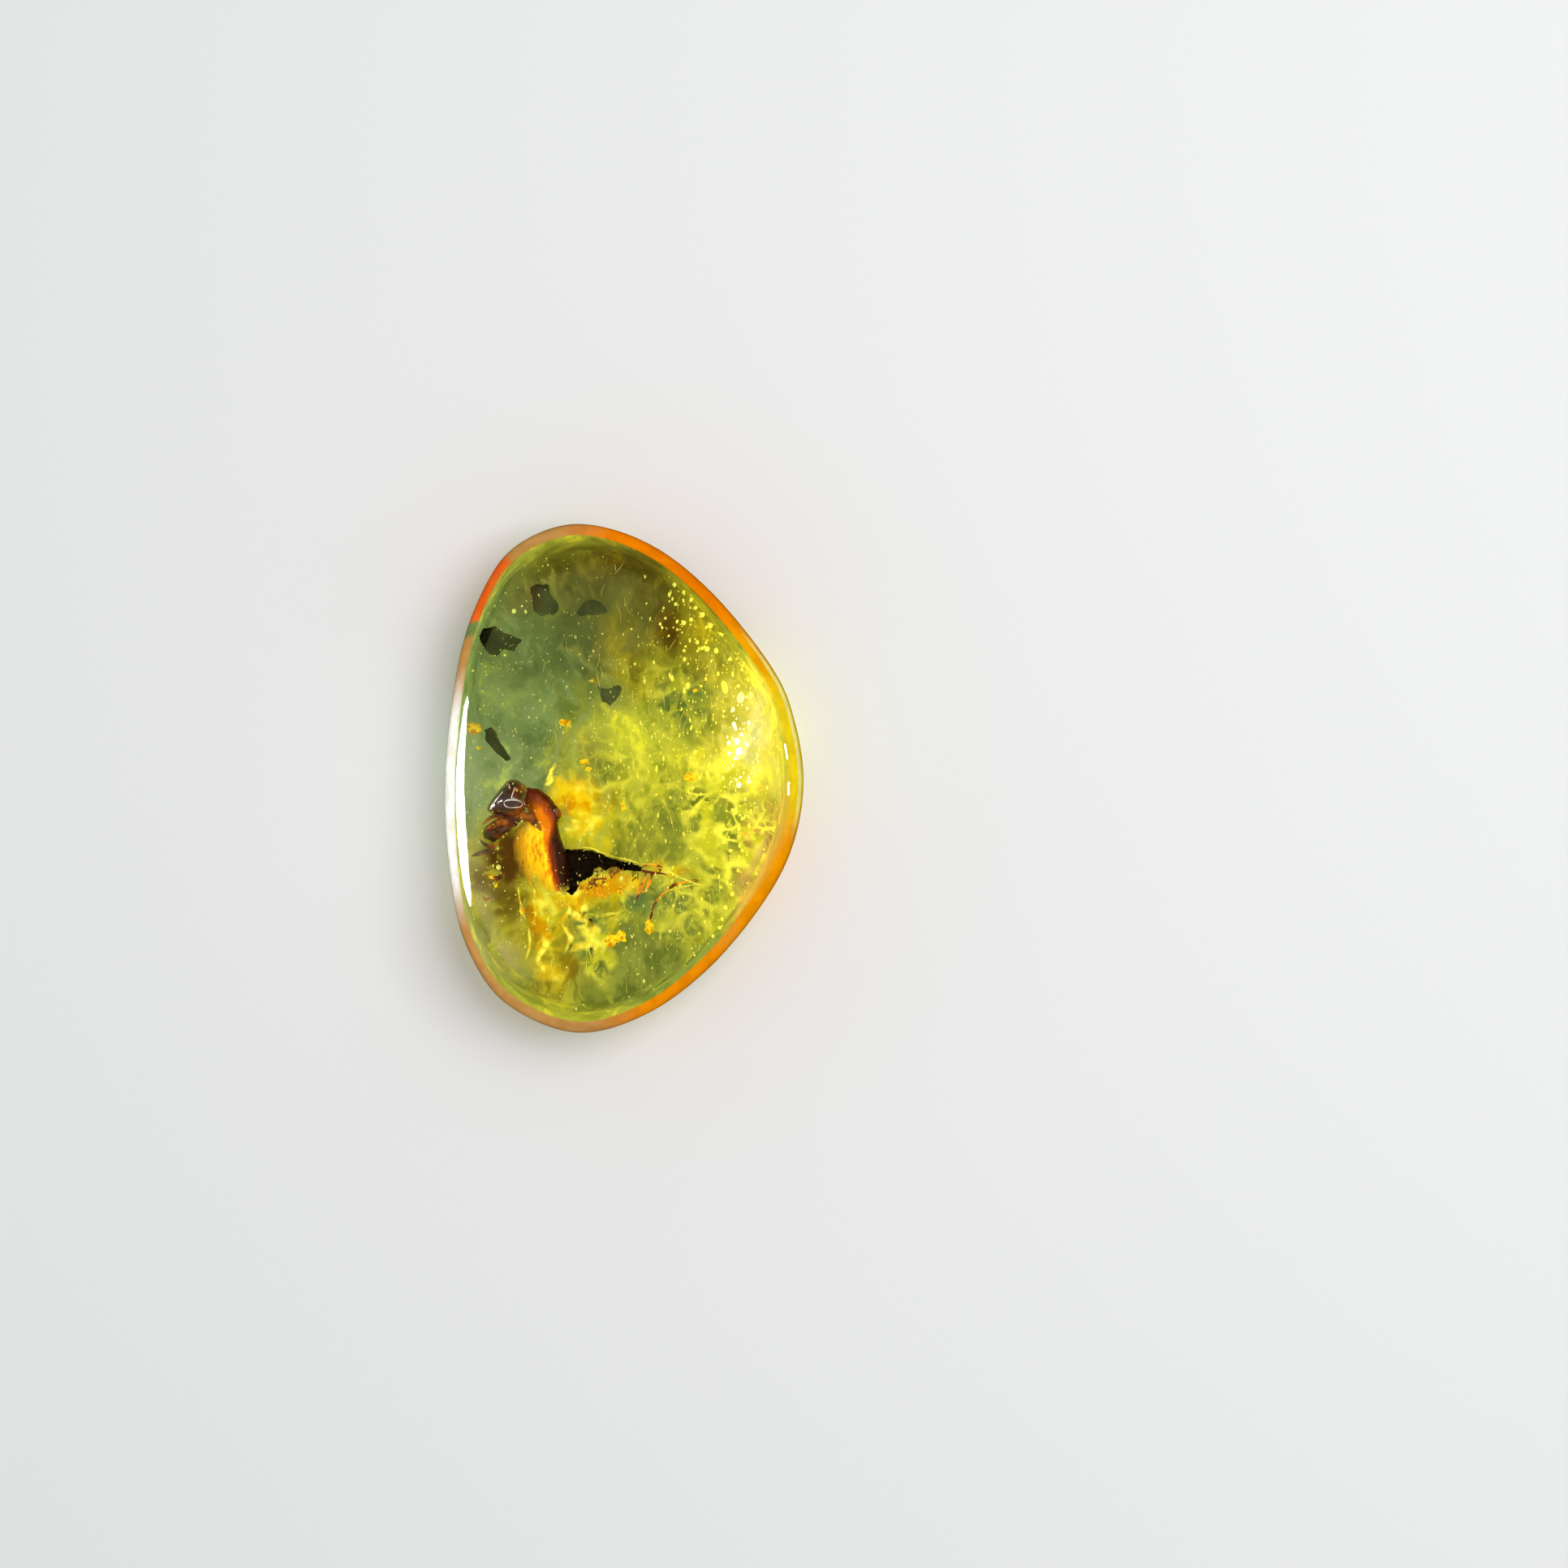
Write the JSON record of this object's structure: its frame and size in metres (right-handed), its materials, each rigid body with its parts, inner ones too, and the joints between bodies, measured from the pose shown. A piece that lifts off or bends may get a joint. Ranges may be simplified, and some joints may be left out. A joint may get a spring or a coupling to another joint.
{
  "type": "polished amber with inclusions",
  "caption": "Polished pebble of cloudy clear amber, domed in front and flat behind, with a glossy husk, a bark splinter, fibres and crumbs sealed inside.",
  "frame": {"origin": "middle of the bounding box in plan, on the flat back that the stone rests on", "axes": "+X across the stone towards its bulging edge, +Y along its length, +Z out of the domed front"},
  "size_m": [0.0216, 0.0306, 0.0079],
  "materials": {
    "clear_amber": "polished clear amber, cloudy green to yellow with an orange rim",
    "dark_husk": "glossy dark red-brown husk",
    "orange_husk": "orange-brown husk, darker at its edges",
    "bark": "matte near-black bark",
    "fibre": "fine red-brown plant fibre",
    "gold_flake": "golden yellow flake"
  },
  "bodies": {
    "root": {"amber_back": "clear_amber", "amber_front": "clear_amber", "husk_head": "dark_husk", "husk_body": "orange_husk", "husk_flap": "dark_husk", "bark_splinter": "bark", "looped_fibre": "fibre", "long_fibre": "fibre", "crumb_upper": "bark", "crumb_arched": "bark", "crumb_left": "bark", "crumb_middle": "bark", "wood_sliver": "bark", "gold_drop": "gold_flake", "gold_flake": "gold_flake"}
  },
  "joints": []
}
